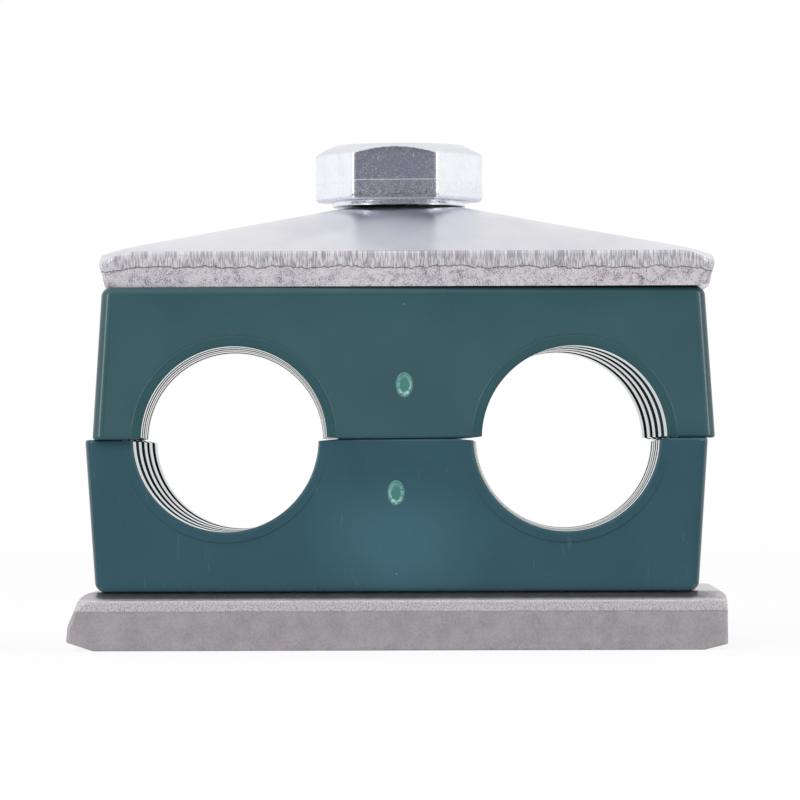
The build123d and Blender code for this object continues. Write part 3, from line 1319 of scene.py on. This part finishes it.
@dataclass
class HexBolt:
    """Fully threaded hexagon bolt, plated, with a chamfered head on a washer face."""

    finish: BrightZinc = BrightZinc(name="plated_bolt")
    major: float = 7.96
    minor: float = 6.46
    pitch: float = 1.25
    length: float = 35.0
    head_height: float = 5.38
    flats: float = 12.9
    corners: float = 14.72
    head_top_radius: float = 5.84
    chamfer_angle: float = 30.0
    washer_radius: float = 5.87
    washer_height: float = 0.4
    foot_radius: float = 0.45
    tip: float = 0.8
    turn: float = -2.0
    corner_radius: float = 0.4
    step_height: float = 2.15
    step_depth: float = 0.03
    step_lean: float = 0.015

    def sunk(self, z: float) -> float:
        """How far the flats stand inside at a height: by the step's depth above it."""
        if z >= self.step_height:
            return self.step_depth
        return self.step_lean * (self.step_height - z)

    def head(self) -> bpy.types.Object:
        """The hexagon head on its washer face, as one radial form.

        Each level is a height, the radius that the corners stay within, and how far
        the flats stand inside the full width.
        """
        corner, high = self.corners / 2, self.head_height
        fall = math.tan(math.radians(self.chamfer_angle))
        shoulder = high - (corner - self.head_top_radius) * fall
        rim, low = self.washer_radius, self.washer_height
        levels: list[Point] = [
            (0.0, rim - 0.1, 0.0), (0.03, rim - 0.03, 0.0), (0.1, rim, 0.0),
            (low, rim, 0.0)]
        for a in quarter_turn(8):
            inset = self.foot_radius * (1 - math.sin(a))
            z = low + self.foot_radius * (1 - math.cos(a))
            levels.append((z, corner - inset, inset + self.sunk(z)))
        step = [self.step_height + d for d in (-0.07, -0.045, -0.02, 0.02, 0.045, 0.07)]
        flank = [*np.linspace(low + self.foot_radius, step[0], 8)[1:-1], *step,
                 *np.linspace(step[-1], shoulder, 14)[1:]]
        levels += [(float(z), corner, self.sunk(z)) for z in flank]
        levels += [(shoulder + (high - 0.05 - shoulder) * i / 12,
                    corner + (self.head_top_radius + 0.05 / fall - corner) * i / 12,
                    self.step_depth) for i in range(1, 13)]
        levels += [(high - 0.015, self.head_top_radius - 0.06, 0.0),
                   (high, self.head_top_radius - 0.3, 0.0)]
        angle = np.linspace(0, 2 * math.pi, 288, endpoint=False)
        rings = []
        for z, limit, inset in levels:
            radius = smooth_min(self.hexagon(angle, inset), limit, 0.06)
            rings.append([(r * math.cos(a), r * math.sin(a), z)
                          for r, a in zip(radius.tolist(), angle.tolist())])
        return solid("hexagon", *ring_stack(rings))

    def hexagon(self, angle: np.ndarray, inset: float) -> np.ndarray:
        """The radius of a hexagon with rounded corners, one corner at angle 0.

        Args:
            angle: directions round the axis, in radians.
            inset: how far its flats stand inside the full width across flats.

        Returns:
            The radius in each direction.
        """
        apothem, small, half = self.flats / 2 - inset, self.corner_radius, math.pi / 6
        from_corner = np.abs((angle + half) % (2 * half) - half)
        flat = apothem / np.cos(half - from_corner)
        centre = (apothem - small) / math.cos(half)
        arc = centre * np.cos(from_corner) + np.sqrt(
            np.maximum(small ** 2 - (centre * np.sin(from_corner)) ** 2, 0.0))
        touch = math.atan2(small * math.sin(half), centre + small * math.cos(half))
        return np.where(from_corner < touch, arc, flat)

    def shank(self, material: bpy.types.Material) -> bpy.types.Object:
        """The threaded shank below the head, wound by a Geometry Nodes tree.

        Args:
            material: the bolt's finish.

        Returns:
            The shank.
        """
        sizes = {
            "Major": self.major / 2 * MM, "Minor": self.minor / 2 * MM,
            "Pitch": self.pitch * MM, "Length": self.length * MM, "Tip": self.tip * MM,
        }
        tree, size = open_group("bolt_thread", sizes)
        bite, around, per_turn = 0.2 * MM, 64, 12
        rod = term(tree, "GeometryNodeMeshCylinder", {
            "Vertices": around, "Side Segments": int(self.length / self.pitch * per_turn),
            "Radius": size["Major"], "Depth": size["Length"] + bite})
        hung = term(tree, "GeometryNodeTransform", {
            "Geometry": rod,
            "Translation": joined(tree, 0.0, 0.0, (size["Length"] - bite) * -0.5)})
        x, y, z = term(tree, "GeometryNodeInputPosition").split()
        turns = z / size["Pitch"] - y.math("ARCTAN2", x) / (2 * math.pi)
        saw = turns.math("PINGPONG", 0.5) * 2.0
        radius = saw.ranged(0.22, 0.88).between(size["Minor"], size["Major"])
        radius = radius.at_most(size["Major"] - size["Tip"] + (z + size["Length"]))
        spread = radius / (x ** 2.0 + y ** 2.0).math("SQRT")
        wound = term(tree, "GeometryNodeSetPosition", {
            "Geometry": hung, "Position": joined(tree, x * spread, y * spread, z)})
        shank = new_object("shank", bpy.data.meshes.new("shank"))
        run_group(shank, wound, material, sizes)
        return shank

    def build(self) -> None:
        """Builds and places the bolt."""
        material = self.finish.material()
        bolt, shank = self.head(), self.shank(material)
        boolean(bolt, shank, "UNION")
        apply_modifiers(bolt)
        discard(shank)
        bolt.name = "hexagon_bolt"
        shade(bolt, 35.0)
        seat = float(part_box("bolt")[1][2]) - self.head_height * MM
        settle(bolt, turned_place(0, seat, self.turn), material, "screw")
        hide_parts("bolt")


# ---------------------------------------------------------------- studio


@dataclass
class Studio:
    """A white sweep: camera low in front, soft light above and at both sides.

    Places and sizes are in metres; a pair of turns or rises is where a patch of the
    room's reflection starts and where it is full.
    """

    distance: float = 0.450
    azimuth: float = 1.3
    height: float = 0.0156
    tilt: float = 0.75
    roll: float = 0.2
    lens: float = 230.2
    sensor_mm: float = 36.0
    floor_size: float = 60.0
    shadow_share: float = 0.12
    shadow_reach: tuple[float, float] = (0.8, 0.2)
    table_front: float = 0.03
    table_level: float = 0.1
    room_light: float = 0.6
    dark_turn: tuple[float, float] = (50.0, 10.0)
    dark_rise: tuple[float, float] = (75.0, 4.0)
    dark_level: float = 0.13
    dark_tint: str = "#E6E6FF"
    screen_turn: tuple[float, float] = (-3.6, -2.6)
    screen_foot: tuple[float, float] = (1.5, 2.0)
    screen_head: tuple[float, float] = (4.2, 3.4)
    screen_level: float = 0.62
    beyond_turn: tuple[float, float] = (-3.0, -4.0)
    beyond_level: float = 0.13
    side_lights: tuple[float, float] = (-52.0, 62.0)    # turns of the two upright strips
    side_width: tuple[float, float] = (8.0, 6.0)
    side_rise: tuple[float, float] = (45.0, 30.0)
    side_level: float = 3.4

    def camera(self) -> None:
        """Stands the camera where the object is seen from."""
        data = bpy.data.cameras.new("camera")
        data.lens = self.lens
        data.sensor_width = self.sensor_mm
        data.clip_start, data.clip_end = 0.01, 20.0
        camera = new_object("camera", data)
        a = math.radians(self.azimuth)
        camera.location = (self.distance * math.sin(a), -self.distance * math.cos(a),
                           self.height)
        camera.rotation_euler = (math.radians(90 + self.tilt), math.radians(self.roll), a)
        bpy.context.scene.camera = camera

    def floor(self) -> None:
        """A white floor that glows for the eye and in reflections, but keeps shadows."""
        half = self.floor_size / 2
        mesh = bpy.data.meshes.new("floor")
        mesh.from_pydata([(-half, -half, 0), (half, -half, 0), (half, half, 0),
                          (-half, half, 0)], [], [(0, 1, 2, 3)])
        floor = new_object("floor", mesh)
        material = bpy.data.materials.new("white_sweep")
        material.use_nodes = True
        tree = material.node_tree
        tree.nodes.clear()
        plain, glossy = rays(tree)
        spot = term(tree, "ShaderNodeTexCoord", output="Object")
        table = spot.split()[1].band(-self.table_front, self.table_front)
        near = spot.length().band(*self.shadow_reach)
        matt = term(tree, "ShaderNodeBsdfDiffuse", {"Color": linear("#FFFFFF")})
        glow = term(tree, "ShaderNodeEmission", {
            "Color": linear("#FFFFFF"),
            "Strength": plain.at_least(table.ranged(0.0, 1.0, self.table_level, 1.0))})
        seen = plain.math("ADD", glossy, clamp=True)
        both = term(tree, "ShaderNodeMixShader", {
            0: seen * near.onto(1.0, -self.shadow_share), 1: matt, 2: glow})
        add_node(tree, "ShaderNodeOutputMaterial", {"Surface": both})
        mesh.materials.append(material)

    def world(self) -> None:
        """A white room whose reflection is dark round the camera, but for one screen."""
        world = bpy.data.worlds.new("white_room")
        bpy.context.scene.world = world
        world.use_nodes = True
        tree = world.node_tree
        tree.nodes.clear()
        x, y, z = term(tree, "ShaderNodeTexCoord", output="Generated").split()
        degree = 180 / math.pi
        turn = x.math("ARCTAN2", y * -1.0) * degree
        rise = z.math("ARCSINE") * degree
        dark = abs(turn).band(*self.dark_turn) * rise.band(*self.dark_rise)
        screen = (rise.band(*self.screen_foot) * rise.band(*self.screen_head)
                  * turn.band(*self.screen_turn))
        beyond = turn.band(*self.beyond_turn) * self.beyond_level
        lit = screen.onto(self.dark_level, self.screen_level) + beyond
        mirrored = dark.between(1.0, lit)
        for side in self.side_lights:
            strip = abs(turn - side).band(*self.side_width) * rise.band(*self.side_rise)
            mirrored = strip.onto(mirrored, self.side_level)
        plain, glossy = rays(tree)
        background = term(tree, "ShaderNodeBackground", {
            "Color": (dark * glossy).tint("#FFFFFF", self.dark_tint),
            "Strength": glossy.between(self.room_light, mirrored).at_least(plain)})
        add_node(tree, "ShaderNodeOutputWorld", {"Surface": background})

    @staticmethod
    def lamp(name: str, place: Point, size: float, power: float) -> None:
        """A soft square light aimed at the object, unseen in reflections.

        Args:
            name: the light's name.
            place: where it stands.
            size: its side.
            power: its power in watts.
        """
        data = bpy.data.lights.new(name, "AREA")
        data.shape = "SQUARE"
        data.size = size
        data.energy = power
        light = new_object(name, data)
        light.location = place
        aim = Vector((0, 0, 0.02)) - Vector(place)
        light.rotation_euler = aim.to_track_quat("-Z", "Y").to_euler()
        light.visible_glossy = False

    def build(self) -> None:
        """Sets the camera, floor, world and lights."""
        bpy.context.scene.view_settings.view_transform = "Standard"
        self.camera()
        self.floor()
        self.world()
        self.lamp("overhead", place=(0.0, 0.05, 0.7), size=0.6, power=1.2)
        self.lamp("front_fill", place=(-0.25, -0.75, 0.45), size=0.4, power=2.4)


def main() -> None:
    """Builds the clamp piece by piece, then its surroundings."""
    logging.basicConfig(level=logging.INFO, format="%(name)s %(message)s")
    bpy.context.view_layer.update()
    for part in (WeldPlate(), ClampPair(), CoverPlate(), HexBolt(), Studio()):
        part.build()
        log.info("%s done", type(part).__name__)


if __name__ == "__main__":
    main()
